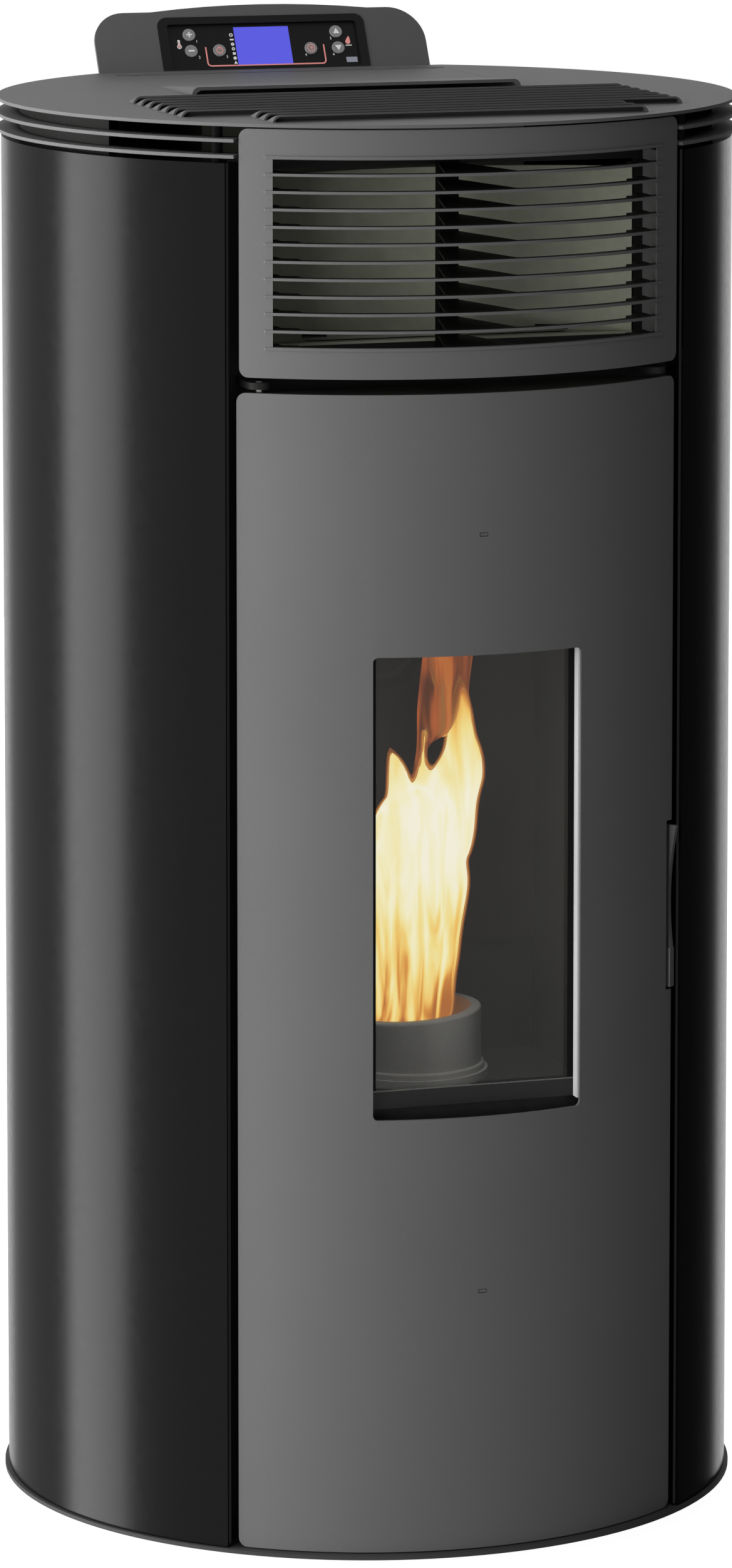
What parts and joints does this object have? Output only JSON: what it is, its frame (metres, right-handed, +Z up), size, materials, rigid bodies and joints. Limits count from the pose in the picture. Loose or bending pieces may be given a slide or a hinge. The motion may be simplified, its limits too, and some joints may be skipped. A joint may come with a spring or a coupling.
{
  "type": "pellet stove",
  "caption": "Round floor-standing pellet stove with a curved glazed door, slatted warm-air grille, louvred top with hopper lid and a sloping control fascia.",
  "frame": {"origin": "on the floor, under the centre of the round plates", "axes": "+Z up; the door faces -Y, the flue leaves along +Y; +X is to the right as seen from the front"},
  "size_m": [0.566, 0.566, 1.1351],
  "materials": {
    "coated_steel": "matt textured high-temperature paint",
    "gloss_black_steel": "gloss",
    "black_steel": "matt",
    "galvanised_steel": "zinc coated",
    "stainless_steel": "brushed",
    "bright_strip": "bright",
    "cast_iron": "cast",
    "firebrick": "rough",
    "rope_seal": "woven glass-fibre rope",
    "heat_glass": "clear",
    "motor_metal": "as cast",
    "bezel_plastic": "satin",
    "rocker_plastic": "satin",
    "screen": "gloss",
    "circuit_board": "satin",
    "key_plastic": "textured"
  },
  "bodies": {
    "stove_body": {"base_plate": "coated_steel", "top_plate": "coated_steel", "fin_rings_left": "coated_steel", "fin_rings_right": "coated_steel", "grille_panel": "coated_steel", "grille_slats": "coated_steel", "ring_spacers": "coated_steel", "flank_left": "gloss_black_steel", "flank_right": "gloss_black_steel", "front_frame": "black_steel", "front_brackets": "black_steel", "grille_comb": "black_steel", "firebox": "black_steel", "ash_drawer": "black_steel", "control_box": "black_steel", "smoke_duct": "black_steel", "rear_panel": "galvanised_steel", "air_duct": "galvanised_steel", "hopper": "galvanised_steel", "auger_tube": "galvanised_steel", "pellet_chute": "galvanised_steel", "smoke_fan_housing": "galvanised_steel", "flue_stub": "galvanised_steel", "air_intake_pipe": "galvanised_steel", "room_fan_housing": "galvanised_steel", "heat_tubes": "galvanised_steel", "hinge_pins": "stainless_steel", "lid_hinge_pin": "stainless_steel", "burner_seat": "cast_iron", "firebox_liner": "firebrick", "auger_gearmotor": "motor_metal", "smoke_fan_motor": "motor_metal", "room_fan_motor": "motor_metal", "display_bezel": "bezel_plastic", "power_module": "bezel_plastic", "levelling_feet": "rocker_plastic", "lcd_screen": "screen", "control_board": "circuit_board"},
    "door": {"door_skin": "coated_steel", "door_frame": "black_steel", "door_glass": "heat_glass", "glass_strips": "bright_strip", "door_gasket": "rope_seal", "door_end_plates": "black_steel", "handle_bracket": "black_steel", "handle_pin": "stainless_steel"},
    "handle": {"handle_lever": "stainless_steel"},
    "lid": {"hopper_lid": "coated_steel"},
    "auger": {"auger_screw": "stainless_steel"},
    "smoke_fan": {"smoke_fan_wheel": "stainless_steel"},
    "room_fan": {"room_fan_wheel": "motor_metal"},
    "rocker": {"switch_rocker": "rocker_plastic"},
    "pot": {"burner_pot": "cast_iron"},
    "key_plus_body": {"key_plus": "key_plastic"},
    "key_minus_body": {"key_minus": "key_plastic"},
    "key_power_body": {"key_power": "key_plastic"},
    "key_menu_body": {"key_menu": "key_plastic"},
    "key_up_body": {"key_up": "key_plastic"},
    "key_down_body": {"key_down": "key_plastic"}
  },
  "joints": [
    {"name": "door_hinge", "type": "hinge", "parent": "stove_body", "child": "door", "pos_m": [-0.15407, -0.21721, 0.451], "axis": [0, 0, -1], "range_deg": [0, 110]},
    {"name": "handle_pivot", "type": "hinge", "parent": "door", "child": "handle", "pos_m": [0.16752, -0.21174, 0.431], "axis": [0.7842, 0.6205, 0], "range_deg": [0, 25]},
    {"name": "lid_hinge", "type": "hinge", "parent": "stove_body", "child": "lid", "pos_m": [0, 0.213, 1.08], "axis": [-1, 0, 0], "range_deg": [0, 80]},
    {"name": "auger_turn", "type": "hinge", "parent": "stove_body", "child": "auger", "pos_m": [0, 0.165, 0.605], "axis": [0, -0.7071, 0.7071], "continuous": true},
    {"name": "smoke_fan_turn", "type": "hinge", "parent": "stove_body", "child": "smoke_fan", "pos_m": [-0.033, 0.1, 0.2], "axis": [1, 0, 0], "continuous": true},
    {"name": "room_fan_turn", "type": "hinge", "parent": "stove_body", "child": "room_fan", "pos_m": [0, -0.105, 0.11], "axis": [1, 0, 0], "continuous": true},
    {"name": "rocker_tilt", "type": "hinge", "parent": "stove_body", "child": "rocker", "pos_m": [0.088, 0.237, 0.112], "axis": [0, 0, -1], "range_deg": [0, 12]},
    {"name": "pot_lift", "type": "slide", "parent": "stove_body", "child": "pot", "axis": [0, 0, 1], "range_m": [0, 0.06]},
    {"name": "key_plus_press", "type": "slide", "parent": "stove_body", "child": "key_plus_body", "axis": [0, 0.8788, -0.4772], "range_m": [0, 0.0008], "stiffness_N_per_m": 400},
    {"name": "key_minus_press", "type": "slide", "parent": "stove_body", "child": "key_minus_body", "axis": [0, 0.8788, -0.4772], "range_m": [0, 0.0008], "stiffness_N_per_m": 400},
    {"name": "key_power_press", "type": "slide", "parent": "stove_body", "child": "key_power_body", "axis": [0, 0.8788, -0.4772], "range_m": [0, 0.0008], "stiffness_N_per_m": 400},
    {"name": "key_menu_press", "type": "slide", "parent": "stove_body", "child": "key_menu_body", "axis": [0, 0.8788, -0.4772], "range_m": [0, 0.0008], "stiffness_N_per_m": 400},
    {"name": "key_up_press", "type": "slide", "parent": "stove_body", "child": "key_up_body", "axis": [0, 0.8788, -0.4772], "range_m": [0, 0.0008], "stiffness_N_per_m": 400},
    {"name": "key_down_press", "type": "slide", "parent": "stove_body", "child": "key_down_body", "axis": [0, 0.8788, -0.4772], "range_m": [0, 0.0008], "stiffness_N_per_m": 400}
  ]
}
